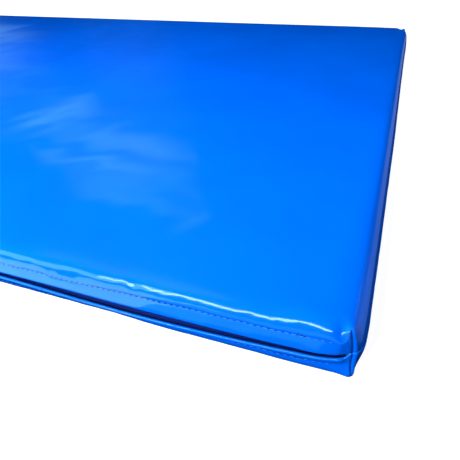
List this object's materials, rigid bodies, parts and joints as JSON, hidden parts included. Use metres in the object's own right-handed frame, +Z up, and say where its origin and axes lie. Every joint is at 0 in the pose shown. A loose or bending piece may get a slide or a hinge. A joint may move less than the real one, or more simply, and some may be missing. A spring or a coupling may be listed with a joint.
{
  "type": "gymnastics mat",
  "caption": "Padded gymnastics mat: a layered foam core in a sewn glossy blue vinyl cover that closes with a zip along one long side.",
  "frame": {"origin": "middle of the resting face, at floor level", "axes": "+X along the zipped long side, +Y away from the zipped side, +Z up through the thickness"},
  "size_m": [2, 1.003, 0.06],
  "materials": {
    "cover_sheet": "glossy PVC-coated polyester sheet",
    "core_foam": "open-cell foam",
    "zip_tape": "woven polyester",
    "zip_coil": "moulded nylon",
    "zip_stop_metal": "satin",
    "slider_metal": "black enamel on die-cast zinc",
    "sewing_thread": "bonded polyester thread"
  },
  "bodies": {
    "cover": {"cover_top": "cover_sheet", "cover_base": "cover_sheet", "core_top_layer": "core_foam", "core_base_layer": "core_foam", "zip_tape_upper": "zip_tape", "zip_tape_lower": "zip_tape", "zip_coil_upper": "zip_coil", "zip_coil_lower": "zip_coil", "zip_top_stop_upper": "zip_stop_metal", "zip_top_stop_lower": "zip_stop_metal", "zip_bottom_stop": "zip_stop_metal", "zip_stitches_upper": "sewing_thread", "zip_stitches_lower": "sewing_thread", "side_seam_thread": "sewing_thread", "corner_seam_threads": "sewing_thread"},
    "slider": {"slider_body": "slider_metal"},
    "pull": {"slider_pull": "slider_metal"}
  },
  "joints": [
    {"name": "slider_travel", "type": "slide", "parent": "cover", "child": "slider", "axis": [1, 0, 0], "range_m": [0, 1.9424]},
    {"name": "pull_swing", "type": "hinge", "parent": "slider", "child": "pull", "pos_m": [-0.9712, -0.5009, 0.0275], "axis": [0, 0, -1], "range_deg": [0, 180]}
  ]
}
